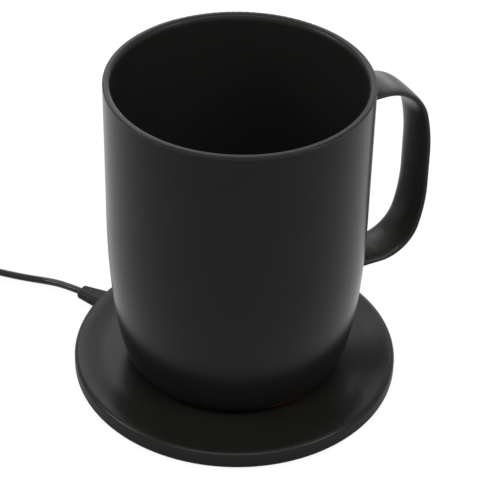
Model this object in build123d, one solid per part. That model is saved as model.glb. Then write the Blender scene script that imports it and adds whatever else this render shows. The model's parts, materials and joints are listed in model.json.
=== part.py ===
"""A self heating mug standing on its round charging coaster, with the coaster's cord and wall adapter.

Millimetres, +Z up. The origin is the centre of the coaster's foot on the table, +X points to the mug's
handle and -Y to its front, where the small light is. Each piece is written to its own file.
"""

import os
from math import asin, ceil, cos, degrees, pi, radians, sin, sqrt, tan

from build123d import *

# General
overrun = 1.0
running_gap = 0.05
seat_gap = 0.1

# Coaster, outside
coaster_radius = 51.3
foot_stand = 0.3
coaster_edge_height = 6.2
coaster_edge_round = 1.6
coaster_lower_round = 2.1
coaster_seam_height = 1.5
dish_depth = 0.6
dish_margin = 1.9
dish_slope = 8.0

# Coaster, inside
coaster_top_thickness = 1.2
coaster_floor_thickness = 1.2
coaster_wall = 1.6
coaster_lip_height = 0.9
coaster_lip_thickness = 1.0
foot_margin = 5.0
foot_recess = 0.3
foot_edge_round = 0.3
coaster_screw_count = 4
coaster_screw_margin = 10.5
coaster_screw_radius = 0.8
coaster_screw_head_radius = 1.7
coaster_screw_head_height = 0.6
coaster_boss_radius = 2.4

# Mug, outside
mug_height = 100.8
mug_radius = 40.0
side_taper = 0.1
waist_rise = 54.1
base_radius = 32.3
base_stand = 1.8
shell_wall = 0.8

# Inner cup and its rim
rim_seam_drop = 1.0
rim_corner = 0.5
rim_width = 2.6
rim_roll_width = 1.4
rim_roll_depth = 2.2
cup_taper = 1.0
cup_corner = 12.0
cup_wall = 0.6

# Handle strap
strap_width = 13.5
strap_thickness = 2.4
strap_edge_round = 0.9
strap_top_drop = 14.9
strap_top_reach = 19.4
strap_upper_reach = 24.1
strap_upper_drop = 34.5
strap_lower_reach = 24.3
strap_lower_drop = 60.0
strap_low_reach = 19.5
strap_low_drop = 78.0
strap_end_drop = 77.3
strap_root_depth = 4.0
strap_top_bend = 16.0
strap_upper_bend = 44.0
strap_lower_bend = 36.0
strap_low_bend = 13.2

# Light window and its board
window_inner_share = 0.11
window_outer_share = 0.26
window_arc = 21.0
window_rise = 2.5
light_count = 3
light_size = 1.4
light_height = 0.6
light_board_thickness = 0.8
light_board_arc = 26.0
light_board_width = 1.4
light_board_share = 0.13
light_board_notch = 28.0

# Mounting ring and base cap
cap_thickness = 2.3
mounting_ring_height = 2.2
mounting_ring_width = 6.3
foot_ring_margin = 2.1
foot_ring_width = 2.9
foot_ring_recess = 0.9
foot_ring_round = 0.6
gasket_margin = 1.6
gasket_width = 0.7
gasket_depth = 0.5
base_screw_count = 3
base_screw_radius = 0.95
base_screw_head_radius = 1.4
base_screw_head_height = 0.5

# Charging contacts of the mug
contact_recess = 0.2
contact_thickness = 0.8
contact_disc_radius = 3.0
contact_ring_radius = 9.25
contact_ring_width = 2.5
contact_leg_radius = 0.9
contact_leg_count = 3

# Contact board, switch and power button
contact_board_margin = 0.4
contact_board_rise = 1.2
contact_board_thickness = 1.0
board_post_radius = 1.8
board_post_margin = 4.1
board_post_count = 4
button_radius = 4.0
button_flange_radius = 5.0
button_recess = 0.3
button_flange_height = 0.6
button_counterbore = 0.8
button_dish = 0.25
switch_size = 5.2
switch_height = 0.8

# Battery cells and holder
cell_radius = 7.1
cell_end_room = 1.2
cell_gap = 0.4
cell_nub_radius = 2.6
cell_nub_height = 0.8
cell_end_step = 0.6
holder_margin = 2.8
holder_plate = 1.2
trough_floor = 0.5
trough_depth = 5.0
trough_wall = 1.3
holder_post_radius = 2.2
holder_post_margin = 5.6
holder_post_gap = 0.3
tab_thickness = 0.2
tab_width = 4.0

# Control board
control_board_margin = 0.5
control_board_thickness = 1.2
control_board_gap = 0.6
board_screw_radius = 0.9
board_screw_head_radius = 1.8
board_screw_head_height = 0.9
board_screw_depth = 4.0
component_height = 1.2
link_width = 6.0
link_thickness = 0.3

# Heater stack
pad_thickness = 1.8
spreader_margin = 0.9
spreader_thickness = 1.0
film_margin = 0.4
film_thickness = 0.3
film_tab_length = 3.5
lead_width = 5.0
lead_thickness = 0.3
lead_overhang = 2.6
lead_end_reach = 3.0
lead_bend = 1.0
sensor_radius = 1.9
sensor_height = 2.0
sensor_lead_radius = 0.4
sensor_lead_spacing = 1.6

# Sprung pins of the coaster
pin_block_radius = 12.4
pin_block_rise = 1.0
pin_block_flange = 1.6
pin_block_flange_height = 0.9
pin_radius = 0.7
pin_flange_radius = 0.9
pin_flange_height = 0.4
pin_tip_round = 0.4
pin_travel = 1.0
pin_wall = 0.3
pin_barrel_radius = 1.25
pin_contact_gap = 0.05
spring_wire = 0.2
spring_radius = 0.7
coaster_board_radius = 14.0
coaster_board_thickness = 1.0
coaster_board_stand = 0.3
coaster_board_rest = 2.4

# Cord and its strain relief
cord_diameter = 2.4
cord_exit_angle = 120.7
cord_height = 3.4
boot_length = 8.8
boot_root_width = 7.6
boot_root_height = 3.9
boot_tip_width = 5.0
boot_tip_height = 3.2
boot_corner_share = 0.45
boot_anchor_depth = 3.0
boot_anchor_width = 9.4
boot_anchor_height = 2.2
boot_tip_round = 0.9

# The cord on the table: from the strain relief to the coil, then from the coil to the adapter,
# where each run turns by the same angle and rises by its share of the adapter's height
lead_first_run = 3.6
lead_last_run = 7.2
lead_places = [
    (-35.3, 60.9, 2.2),
    (-38.6, 65.6, 1.2),
    (-44.9, 71.2, 1.2),
    (-52.3, 79.2, 1.2),
]
tail_run = 5.6
tail_turn = 5.0
tail_rises = [0.0, 0.25, 0.5, 0.25, 0.0]

# Coil of the put-away length
coil_centre = (-78.1, 78.7)
coil_mean_radius = 14.2
coil_pitch = 3.3
coil_layers = 4
coil_turns_per_layer = 3
coil_last_quarters = 11
coil_entry_angle = 41.0
tie_thickness = 0.5
tie_width = 5.0
tie_clearance = 0.35
tie_round = 2.0
tie_angle = 225.0

# Wall adapter, lying on its side
adapter_length = 44.0
adapter_depth = 24.0
adapter_width = 26.0
adapter_wall = 1.8
adapter_edge_round = 3.0
adapter_ledge = 0.9
adapter_cover_thickness = 2.4
blade_spacing = 12.7
blade_width = 6.35
blade_thickness = 1.5
blade_length = 16.5
blade_root = 5.0
blade_place_share = 0.62
blade_hole_radius = 1.6
blade_hole_setback = 4.2
blade_tip_round = 1.2
adapter_boot_length = 12.0
adapter_boot_root_radius = 3.6
adapter_boot_tip_radius = 2.1
adapter_boot_flange = 1.2
adapter_boot_grooves = 3
adapter_boot_groove_depth = 0.6
adapter_board_thickness = 1.4
adapter_board_margin = 2.0
transformer_length = 15.0
transformer_width = 14.0
transformer_height = 11.0
capacitor_radius = 4.0
capacitor_height = 12.0

# Radii worked out from the outside in
dish_radius = coaster_radius - dish_margin
foot_radius = coaster_radius - foot_margin
coaster_screw_circle = coaster_radius - coaster_screw_margin
waist_radius = mug_radius - side_taper
curl = waist_radius - base_radius
window_inner = base_radius + curl * window_inner_share
window_outer = base_radius + curl * window_outer_share
light_board_reach = base_radius + curl * light_board_share
foot_ring_radius = base_radius - foot_ring_margin
foot_ring_bore = foot_ring_radius - foot_ring_width
base_screw_circle = (foot_ring_radius + foot_ring_bore) / 2
gasket_radius = base_radius - gasket_margin
mounting_ring_bore = base_radius - mounting_ring_width
contact_board_radius = mounting_ring_bore - contact_board_margin
board_post_circle = contact_board_radius - board_post_margin
button_reach = (contact_ring_radius + contact_ring_width / 2 + foot_ring_bore) / 2
holder_radius = base_radius - holder_margin
control_board_radius = holder_radius - control_board_margin
cup_low_radius = mug_radius - rim_width - cup_taper
film_radius = cup_low_radius - cup_corner - film_margin
spreader_radius = cup_low_radius - cup_corner - spreader_margin
cell_offset = cell_radius + cell_gap / 2
holder_half_width = cell_offset + cell_radius + seat_gap
cell_length = 2 * (sqrt(holder_radius**2 - holder_half_width**2) - cell_end_room)
holder_post_y = holder_half_width + holder_post_radius + holder_post_gap
holder_post_x = sqrt((holder_radius - holder_post_margin) ** 2 - holder_post_y**2)

# Heights worked out from the table up
coaster_low = foot_stand
coaster_high = coaster_low + coaster_edge_height
seat_z = coaster_high - dish_depth
coaster_ceiling = seat_z - coaster_top_thickness
coaster_floor = coaster_low + coaster_floor_thickness
coaster_seam = coaster_low + coaster_seam_height
seam_angle = degrees(asin((coaster_lower_round - coaster_seam_height) / coaster_lower_round))
seam_reach = coaster_lower_round * (1 - cos(radians(seam_angle)))
rim_z = seat_z + mug_height
waist_z = seat_z + waist_rise
base_z = seat_z + base_stand
seam_z = rim_z - rim_seam_drop
curl_drop = waist_z - base_z
cap_top = base_z + cap_thickness
ring_top = cap_top + mounting_ring_height
contact_top = base_z + contact_recess + contact_thickness
contact_board_low = cap_top + contact_board_rise
contact_board_top = contact_board_low + contact_board_thickness
holder_floor = contact_board_top + holder_plate
cell_axis_z = holder_floor + trough_floor + cell_radius + seat_gap
control_board_low = cell_axis_z + cell_radius + control_board_gap
control_board_top = control_board_low + control_board_thickness
pad_low = control_board_top + component_height
spreader_low = pad_low + pad_thickness
film_low = spreader_low + spreader_thickness
cup_underside = film_low + film_thickness
cup_floor = cup_underside + cup_wall
pin_top = base_z + contact_recess - pin_contact_gap
barrel_low = coaster_floor + seat_gap
barrel_top = seat_z + pin_block_rise - seat_gap
pin_flange_low = barrel_top - pin_wall - pin_travel - pin_flange_height - seat_gap
board_low = coaster_floor + coaster_board_stand
board_top = board_low + coaster_board_thickness

on_floor = (Align.CENTER, Align.CENTER, Align.MIN)


def disc(radius, low, high):
    """A round plate about the Z axis, from one height to another."""
    return Pos(0, 0, low) * Cylinder(radius, high - low, align=on_floor)


def ring(inner, outer, low, high):
    """A plate with a round hole, about the Z axis."""
    return disc(outer, low, high) - disc(inner, low - overrun, high + overrun)


def peg(place, radius, low, high):
    """An upright round bar at a place on the plan."""
    return Pos(place[0], place[1], 0) * disc(radius, low, high)


def pegs(places, radius, low, high):
    """The same upright bar at several places, as one group."""
    return Compound([peg(place, radius, low, high) for place in places])


def block(low, high):
    """A box from its lowest corner to its highest."""
    size = Vector(high) - Vector(low)
    return Pos(*((Vector(low) + Vector(high)) / 2)) * Box(size.X, size.Y, size.Z)


def around(count, radius, start=0.0):
    """Places evenly spaced on a circle about the origin."""
    angles = [radians(start + turn * 360 / count) for turn in range(count)]
    return [(radius * cos(angle), radius * sin(angle)) for angle in angles]


def turned(*edges):
    """The solid that a closed outline of radius and height makes about the Z axis."""
    return revolve(Plane.XZ * make_face(edges), Axis.Z)


def without(solid, *tools):
    """A solid after each tool has been cut out of it."""
    for tool in tools:
        solid = solid - tool
    return solid


def belly(inset):
    """The quarter ellipse by which the side curves in to the base, at an inset from the outside."""
    centre = (waist_radius - curl - inset, waist_z)
    return EllipticalCenterArc(centre, curl, curl_drop - inset, start_angle=-90, arc_size=90)


def mug_form(inset):
    """The mug's outer form as a full solid, or the space inside the shell at an inset of its wall."""
    low = base_z + inset
    return turned(
        Line((0, low), (base_radius - inset, low)),
        belly(inset),
        Line((waist_radius - inset, waist_z), (mug_radius - inset, seam_z)),
        Line((mug_radius - inset, seam_z), (0, seam_z)),
        Line((0, seam_z), (0, low)),
    )


def arc_bar(inner, outer, low, high, arc):
    """A curved bar on the mug's front, of a given arc in degrees."""
    outline = Polyline((inner, low), (outer, low), (outer, high), (inner, high), close=True)
    bar = revolve(Plane.XZ * make_face(outline), Axis.Z, revolution_arc=arc)
    return Rot(0, 0, -90 - arc / 2) * bar


def window_bar(growth):
    """The curved bar of the light window, grown by a clearance on its sides."""
    spread = degrees(2 * growth / window_inner)
    return arc_bar(
        window_inner - growth,
        window_outer + growth,
        base_z - overrun,
        base_z + window_rise,
        window_arc + spread,
    )


def mug_shell():
    """Outer shell: straight side, long curve down to a narrower base, and an open bottom."""
    mouth = base_radius - shell_wall
    shell = turned(
        Line((mouth, base_z), (base_radius, base_z)),
        belly(0),
        Line((waist_radius, waist_z), (mug_radius, seam_z)),
        Line((mug_radius, seam_z), (mug_radius - shell_wall, seam_z)),
        Line((mug_radius - shell_wall, seam_z), (waist_radius - shell_wall, waist_z)),
        belly(shell_wall),
        Line((mouth, base_z + shell_wall), (mouth, base_z)),
    )
    return shell - window_bar(running_gap)


def mug_liner():
    """Inner cup, drawn in one piece with the rolled rim that closes the wall at the top."""
    top_radius = mug_radius - rim_width
    roll_start = rim_z - rim_roll_depth
    inside = FilletPolyline(
        (0, cup_floor), (cup_low_radius, cup_floor), (top_radius, roll_start), radius=cup_corner
    )
    outside = FilletPolyline(
        (0, cup_underside),
        (cup_low_radius + cup_wall, cup_underside),
        (top_radius + cup_wall, seam_z),
        radius=cup_corner + cup_wall,
    )
    roll = EllipticalCenterArc(
        (top_radius + rim_roll_width, roll_start),
        rim_roll_width,
        rim_roll_depth,
        start_angle=90,
        arc_size=90,
    )
    corner_centre = (mug_radius - rim_corner, rim_z - rim_corner)
    return turned(
        inside,
        roll,
        Line((top_radius + rim_roll_width, rim_z), (mug_radius - rim_corner, rim_z)),
        CenterArc(corner_centre, rim_corner, 0, 90),
        Line((mug_radius, rim_z - rim_corner), (mug_radius, seam_z)),
        Line((mug_radius, seam_z), (top_radius + cup_wall, seam_z)),
        outside,
        Line((0, cup_underside), (0, cup_floor)),
    )


def side_radius(z):
    """The mug's outer radius at a height on its curved lower part."""
    share = (waist_z - z) / curl_drop
    return waist_radius - curl + curl * sqrt(1 - share**2)


def handle_path():
    """The middle line of the strap, from inside the wall round to inside the wall again."""
    end_z = rim_z - strap_end_drop
    return FilletPolyline(
        (mug_radius - strap_root_depth, 0, rim_z - strap_top_drop),
        (mug_radius + strap_top_reach, 0, rim_z - strap_top_drop),
        (mug_radius + strap_upper_reach, 0, rim_z - strap_upper_drop),
        (mug_radius + strap_lower_reach, 0, rim_z - strap_lower_drop),
        (mug_radius + strap_low_reach, 0, rim_z - strap_low_drop),
        (side_radius(end_z) - strap_root_depth, 0, end_z),
        radius=[strap_top_bend, strap_upper_bend, strap_lower_bend, strap_low_bend],
    )


def handle():
    """Flat strap with rounded edges, bent into an ear and welded to the shell at both ends."""
    path = handle_path()
    start = Plane(origin=path @ 0, x_dir=(0, 1, 0), z_dir=path % 0)
    strap = sweep(start * RectangleRounded(strap_width, strap_thickness, strap_edge_round), path=path)
    return strap - mug_form(0)


def led_window():
    """Clear bar that fills the slot in the shell, flush with its outer surface."""
    return mug_form(0) & window_bar(0)


def led_board():
    """Curved board over the light window, with its lights facing down on the window."""
    lights_low = base_z + window_rise
    low = lights_low + light_height
    inner = light_board_reach - light_board_width
    board = arc_bar(inner, light_board_reach, low, low + light_board_thickness, light_board_arc)
    spread = window_arc / light_count
    for number in range(light_count):
        angle = -90 + (number - (light_count - 1) / 2) * spread
        chip = block(
            (inner + seat_gap, -light_size / 2, lights_low),
            (light_board_reach - seat_gap, light_size / 2, low + seat_gap),
        )
        board = board + Rot(0, 0, angle) * chip
    return board


def screw_places():
    """Places of the screws under the mug, hidden by its foot ring."""
    return around(base_screw_count, base_screw_circle, 30)


def mounting_ring():
    """Ring bonded inside the foot of the shell, which takes the base screws."""
    slab = mug_form(shell_wall) & disc(mug_radius, cap_top, ring_top)
    notch_inner = light_board_reach - light_board_width - seat_gap
    notch = arc_bar(notch_inner, mug_radius, cap_top - overrun, ring_top + overrun, light_board_notch)
    return without(
        slab,
        disc(mounting_ring_bore, cap_top - overrun, ring_top + overrun),
        pegs(screw_places(), base_screw_radius + running_gap, cap_top - overrun, ring_top + overrun),
        notch,
    )


def contact_legs():
    """Places of the outer contact's legs."""
    return around(contact_leg_count, contact_ring_radius, 90)


def base_cap():
    """Plastic bottom of the mug, with seats for the foot ring, gasket, contacts and button."""
    groove_top = base_z + foot_ring_recess
    head_top = groove_top + base_screw_head_height
    half = contact_ring_width / 2
    button = (-button_reach, 0)
    cap = without(
        disc(base_radius - shell_wall - running_gap, base_z, cap_top),
        ring(foot_ring_bore, foot_ring_radius, base_z - overrun, groove_top),
        ring(gasket_radius - gasket_width, gasket_radius, cap_top - gasket_depth, cap_top + overrun),
        pegs(screw_places(), base_screw_radius + seat_gap, base_z, cap_top + overrun),
        pegs(screw_places(), base_screw_head_radius + seat_gap, base_z, head_top),
        disc(contact_disc_radius + running_gap, base_z - overrun, contact_top),
        ring(
            contact_ring_radius - half - running_gap,
            contact_ring_radius + half + running_gap,
            base_z - overrun,
            contact_top,
        ),
        disc(contact_leg_radius + running_gap, base_z, cap_top + overrun),
        pegs(contact_legs(), contact_leg_radius + running_gap, base_z, cap_top + overrun),
        peg(button, button_radius + running_gap, base_z - overrun, cap_top + overrun),
        peg(button, button_flange_radius + seat_gap, cap_top - button_counterbore, cap_top + overrun),
    )
    for place in around(board_post_count, board_post_circle, 45):
        cap = cap + peg(place, board_post_radius, cap_top - gasket_depth, contact_board_low)
    return cap


def base_gasket():
    """Sealing ring between the base cap and the mounting ring."""
    low = cap_top - gasket_depth
    return ring(gasket_radius - gasket_width + running_gap, gasket_radius - running_gap, low, cap_top)


def base_screws():
    """Screws that hold the base cap to the mounting ring."""
    head_low = base_z + foot_ring_recess
    screws = []
    for place in screw_places():
        head = peg(place, base_screw_head_radius, head_low, head_low + base_screw_head_height)
        screws.append(head + peg(place, base_screw_radius, head_low, ring_top - seat_gap))
    return Compound(screws)


def foot_ring():
    """Soft ring that the mug stands on, bonded in its groove under the base cap."""
    groove_top = base_z + foot_ring_recess
    solid = ring(foot_ring_bore + running_gap, foot_ring_radius - running_gap, seat_z, groove_top)
    return fillet(solid.edges().group_by(Axis.Z)[0], foot_ring_round)


def contact_disc():
    """Middle charging contact under the mug, with the leg that reaches its board."""
    low = base_z + contact_recess
    leg = disc(contact_leg_radius, low, contact_board_low)
    return disc(contact_disc_radius, low, contact_top) + leg


def contact_ring():
    """Outer charging contact under the mug, with its three legs."""
    low = base_z + contact_recess
    half = contact_ring_width / 2
    solid = ring(contact_ring_radius - half, contact_ring_radius + half, low, contact_top)
    for place in contact_legs():
        solid = solid + peg(place, contact_leg_radius, low, contact_board_low)
    return solid


def contact_board():
    """Round board over the contacts, standing on the base cap's posts."""
    return disc(contact_board_radius, contact_board_low, contact_board_top)


def tact_switch():
    """Dome switch under the contact board, over the power button."""
    half = switch_size / 2
    low = contact_board_low - switch_height
    body = block(
        (-button_reach - half, -half, low + switch_height / 4),
        (-button_reach + half, half, contact_board_low),
    )
    return body + peg((-button_reach, 0), switch_size / 4, low, contact_board_low)


def power_button():
    """Dished round button in the base cap, held in by its flange."""
    low = base_z + button_recess
    flange_low = cap_top - button_counterbore
    body = disc(button_radius, low, flange_low + button_flange_height)
    body = fillet(body.edges().group_by(Axis.Z)[0], button_dish)
    body = body + disc(button_flange_radius, flange_low, flange_low + button_flange_height)
    sphere_radius = (button_radius**2 / 4 + button_dish**2) / (2 * button_dish)
    dish = Pos(0, 0, low + button_dish - sphere_radius) * Sphere(sphere_radius)
    return Pos(-button_reach, 0, 0) * (body - dish)


def cell_places():
    """Offsets of the two cells across the holder."""
    return [-cell_offset, cell_offset]


def along_x(radius, length, y, z):
    """A round bar along X, centred on the YZ plane."""
    return Pos(0, y, z) * Rot(0, 90, 0) * Cylinder(radius, length)


def battery_cells():
    """Two round cells side by side, each with its raised end."""
    cells = []
    for y in cell_places():
        body_length = cell_length - cell_nub_height
        body = along_x(cell_radius, body_length, y, cell_axis_z)
        body = chamfer(body.edges().filter_by(GeomType.CIRCLE), cell_end_step)
        shift = cell_nub_height / 2 * (1 if y > 0 else -1)
        nub = along_x(cell_nub_radius, cell_length, y, cell_axis_z)
        cells.append(Pos(-shift, 0, 0) * body + nub)
    return Compound(cells)


def holder_posts():
    """Places of the posts that carry the control board."""
    return [(x, y) for x in (-holder_post_x, holder_post_x) for y in (-holder_post_y, holder_post_y)]


def battery_holder():
    """Cradle with two troughs for the cells and four posts for the control board."""
    half_length = cell_length / 2 + tab_thickness + seat_gap + trough_wall
    cradle = block(
        (-half_length, -holder_half_width, holder_floor - holder_plate / 2),
        (half_length, holder_half_width, holder_floor + trough_depth),
    )
    bed_length = cell_length + 2 * (tab_thickness + seat_gap)
    for y in cell_places():
        cradle = cradle - along_x(cell_radius + seat_gap, bed_length, y, cell_axis_z)
    plate = disc(holder_radius, contact_board_top, holder_floor)
    slot_y = contact_board_radius - link_width / 4
    slot = block(
        (-link_width / 2 - seat_gap, slot_y - link_thickness - seat_gap, contact_board_top - overrun),
        (link_width / 2 + seat_gap, slot_y + seat_gap, holder_floor + overrun),
    )
    solid = cradle + plate
    for place in holder_posts():
        solid = solid + peg(place, holder_post_radius, contact_board_top, control_board_low)
    screw_low = control_board_low - board_screw_depth - seat_gap
    return without(
        solid,
        slot,
        pegs(holder_posts(), board_screw_radius + running_gap, screw_low, control_board_low + overrun),
    )


def battery_tabs():
    """Welded strips: one joins the cells at one end, two rise to the board at the other."""
    end = cell_length / 2
    low = cell_axis_z - tab_width / 2
    joiner = block(
        (end, -cell_offset - tab_width / 2, low),
        (end + tab_thickness, cell_offset + tab_width / 2, low + tab_width),
    )
    risers = [
        block(
            (-end - tab_thickness, y - tab_width / 2, low),
            (-end, y + tab_width / 2, control_board_low),
        )
        for y in cell_places()
    ]
    return Compound([joiner, *risers])


def board_link():
    """Flat ribbon between the contact board and the control board."""
    back = contact_board_radius - link_width / 4
    return block(
        (-link_width / 2, back - link_thickness, contact_board_top),
        (link_width / 2, back, control_board_low),
    )


def control_board():
    """Round main board on the holder's posts."""
    board = disc(control_board_radius, control_board_low, control_board_top)
    hole_radius = board_screw_radius + seat_gap
    low = control_board_low - overrun
    return board - pegs(holder_posts(), hole_radius, low, control_board_top + overrun)


def board_components():
    """Chips, coil and sockets on top of the main board, all as high as the pad above them allows."""
    size = component_height
    top = pad_low
    outlines = [
        (-3 * size, 9 * size, 6 * size, 6 * size),
        (9 * size, 6 * size, 4 * size, 4 * size),
        (-9 * size, -8 * size, 5 * size, 4 * size),
        (4 * size, -9 * size, 3 * size, 5 * size),
        (12 * size, -5 * size, 4 * size, 3 * size),
        (-15 * size, 2 * size, 3 * size, 6 * size),
    ]
    return Compound(
        [
            block((x, y, control_board_top), (x + length, y + width, top))
            for x, y, length, width in outlines
        ]
    )


def board_screws():
    """Screws that hold the main board to the holder's posts."""
    head_top = control_board_top + board_screw_head_height
    low = control_board_low - board_screw_depth
    screws = []
    for place in holder_posts():
        head = peg(place, board_screw_head_radius, control_board_top, head_top)
        screws.append(head + peg(place, board_screw_radius, low, control_board_top))
    return Compound(screws)


def insulation_pad():
    """Foam disc between the main board and the heater."""
    hole = disc(sensor_radius + seat_gap, pad_low - overrun, spreader_low + overrun)
    return disc(holder_radius, pad_low, spreader_low) - hole


def heat_spreader():
    """Metal disc under the heater film, with a hole for the sensor."""
    hole = disc(sensor_radius + seat_gap, spreader_low - overrun, film_low + overrun)
    return disc(spreader_radius, spreader_low, film_low) - hole


def heater_film():
    """Thin heater under the cup's floor, with the tab that its lead joins."""
    tab = block(
        (0, -lead_width / 2, film_low),
        (film_radius + film_tab_length, lead_width / 2, cup_underside),
    )
    return disc(film_radius, film_low, cup_underside) + tab


def heater_lead():
    """Flat lead from the heater's tab, round the pad's edge and onto the main board."""
    high = film_low - lead_thickness / 2
    low = control_board_top + lead_thickness / 2
    start = film_radius + seat_gap
    reach = control_board_radius + lead_overhang
    path = FilletPolyline(
        (start, 0, high),
        (reach, 0, high),
        (reach, 0, low),
        (control_board_radius - lead_end_reach, 0, low),
        radius=lead_bend,
    )
    plane = Plane(origin=path @ 0, x_dir=(0, 1, 0), z_dir=path % 0)
    return sweep(plane * Rectangle(lead_width, lead_thickness), path=path)


def temperature_sensor():
    """Small sensor pressed up against the heater film through the spreader's hole."""
    return disc(sensor_radius, film_low - sensor_height, film_low)


def sensor_lead():
    """Two short wires from the sensor down to the main board."""
    places = [(0, side * sensor_lead_spacing / 2) for side in (-1, 1)]
    return pegs(places, sensor_lead_radius, control_board_top, film_low - sensor_height)


def boot_frame(distance):
    """The upright plane across the cord's exit, at a distance from the coaster's axis."""
    angle = radians(cord_exit_angle)
    along = Vector(cos(angle), sin(angle), 0)
    origin = along * distance + Vector(0, 0, cord_height)
    return Plane(origin=origin, x_dir=(-sin(angle), cos(angle), 0), z_dir=along)


def boot_section(width, height):
    """The strain relief's cross-section: a flat bar with well rounded sides."""
    return RectangleRounded(width, height, height * boot_corner_share)


def boot_box(width, height, start, end):
    """A rounded bar along the cord's exit, between two distances from the coaster's axis."""
    return extrude(boot_frame(start) * boot_section(width, height), end - start)


def boot_cuts():
    """What the cord's strain relief takes out of the two halves of the coaster."""
    inner = coaster_radius - coaster_wall
    neck = boot_box(
        boot_root_width + 2 * running_gap,
        boot_root_height + 2 * running_gap,
        inner - boot_anchor_depth - overrun,
        coaster_radius + overrun,
    )
    anchor = boot_box(
        boot_anchor_width + 2 * seat_gap,
        boot_root_height + 2 * running_gap,
        inner - boot_anchor_depth - seat_gap,
        inner + seat_gap,
    )
    return neck, anchor


def dish_outline():
    """The coaster's top line, from the flat seat out to its rounded edge."""
    return Spline(
        (dish_radius - dish_slope, seat_z),
        (dish_radius, coaster_high),
        tangents=[(1, 0), (1, 0)],
    )


def coaster_screw_places():
    """Places of the screws under the coaster, hidden by its foot."""
    return around(coaster_screw_count, coaster_screw_circle, 45)


def coaster_top():
    """Upper half of the coaster: a thin dished plate with a rounded edge and a short side wall."""
    edge_centre = (coaster_radius - coaster_edge_round, coaster_high - coaster_edge_round)
    lower_centre = (coaster_radius - coaster_lower_round, coaster_low + coaster_lower_round)
    inner = coaster_radius - coaster_wall
    bore = pin_block_radius + running_gap
    shell = turned(
        Line((bore, seat_z), (dish_radius - dish_slope, seat_z)),
        dish_outline(),
        Line((dish_radius, coaster_high), (coaster_radius - coaster_edge_round, coaster_high)),
        CenterArc(edge_centre, coaster_edge_round, 0, 90),
        Line((coaster_radius, edge_centre[1]), (coaster_radius, lower_centre[1])),
        CenterArc(lower_centre, coaster_lower_round, 0, -seam_angle),
        Line((coaster_radius - seam_reach, coaster_seam), (inner, coaster_seam)),
        Line((inner, coaster_seam), (inner, coaster_ceiling)),
        Line((inner, coaster_ceiling), (bore, coaster_ceiling)),
        Line((bore, coaster_ceiling), (bore, seat_z)),
    )
    for place in coaster_screw_places():
        shell = shell + peg(place, coaster_boss_radius, coaster_floor, coaster_ceiling + seat_gap)
    holes = pegs(
        coaster_screw_places(),
        coaster_screw_radius + running_gap,
        coaster_floor - overrun,
        coaster_ceiling,
    )
    return without(shell, holes, *boot_cuts())


def coaster_base():
    """Lower half of the coaster: a floor with a rounded lower edge and a lip inside the upper half."""
    inner = coaster_radius - coaster_wall - running_gap
    lip_inner = inner - coaster_lip_thickness
    lip_top = coaster_seam + coaster_lip_height
    round_centre = (coaster_radius - coaster_lower_round, coaster_low + coaster_lower_round)
    floor = turned(
        Line((0, coaster_low), (coaster_radius - coaster_lower_round, coaster_low)),
        CenterArc(round_centre, coaster_lower_round, -90, 90 - seam_angle),
        Line((coaster_radius - seam_reach, coaster_seam), (inner, coaster_seam)),
        Line((inner, coaster_seam), (inner, lip_top)),
        Line((inner, lip_top), (lip_inner, lip_top)),
        Line((lip_inner, lip_top), (lip_inner, coaster_floor)),
        Line((lip_inner, coaster_floor), (0, coaster_floor)),
        Line((0, coaster_floor), (0, coaster_low)),
    )
    head_top = coaster_low + foot_recess + coaster_screw_head_height
    screws = coaster_screw_places()
    rest = ring(
        coaster_board_radius - coaster_board_rest,
        coaster_board_radius,
        coaster_floor - seat_gap,
        board_low,
    )
    return without(
        floor + rest,
        disc(foot_radius, coaster_low - overrun, coaster_low + foot_recess),
        pegs(screws, coaster_screw_radius + seat_gap, coaster_low, coaster_floor + overrun),
        pegs(screws, coaster_screw_head_radius + seat_gap, coaster_low, head_top),
        *boot_cuts(),
    )


def coaster_foot():
    """Rubber disc that the coaster stands on, bonded in a shallow recess."""
    solid = disc(foot_radius - running_gap, 0, coaster_low + foot_recess)
    return fillet(solid.edges().group_by(Axis.Z)[0], foot_edge_round)


def coaster_screws():
    """Screws that close the coaster, covered by its foot."""
    low = coaster_low + foot_recess
    screws = []
    for place in coaster_screw_places():
        head = peg(place, coaster_screw_head_radius, low, low + coaster_screw_head_height)
        screws.append(head + peg(place, coaster_screw_radius, low, coaster_ceiling - seat_gap))
    return Compound(screws)


def coaster_board():
    """Board in the middle of the coaster, which the pins and the cord are soldered to."""
    hole_radius = pin_barrel_radius + running_gap
    holes = pegs(pin_places(), hole_radius, board_low - overrun, board_top + overrun)
    return disc(coaster_board_radius, board_low, board_top) - holes


def coaster_lead():
    """The cord inside the coaster, from the board's edge out to the strain relief."""
    start = coaster_board_radius + seat_gap
    end = coaster_radius - coaster_wall - boot_anchor_depth
    return extrude(boot_frame(start) * Circle(cord_diameter / 2), end - start)


def pin_places():
    """Places of the two pins: the middle one and the one under the outer contact."""
    return [(0.0, 0.0), (contact_ring_radius, 0.0)]


def pin_block():
    """Raised round block that holds the pins in the middle of the coaster."""
    flange_low = coaster_ceiling - pin_block_flange_height
    solid = disc(pin_block_radius, board_top, seat_z + pin_block_rise)
    solid = fillet(solid.edges().group_by(Axis.Z)[-1], foot_edge_round)
    solid = solid + disc(pin_block_radius + pin_block_flange, flange_low, coaster_ceiling)
    holes = pegs(pin_places(), pin_barrel_radius + running_gap, board_top - overrun, rim_z)
    return solid - holes


def pin_barrels():
    """Tubes of the two sprung pins, closed below and necked above."""
    barrels = []
    for place in pin_places():
        tube = peg(place, pin_barrel_radius, barrel_low, barrel_top)
        bore = peg(place, pin_flange_radius + running_gap, barrel_low + pin_wall, barrel_top - pin_wall)
        neck = peg(place, pin_radius + running_gap, barrel_low + pin_wall, barrel_top + overrun)
        barrels.append(tube - bore - neck)
    return Compound(barrels)


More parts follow.
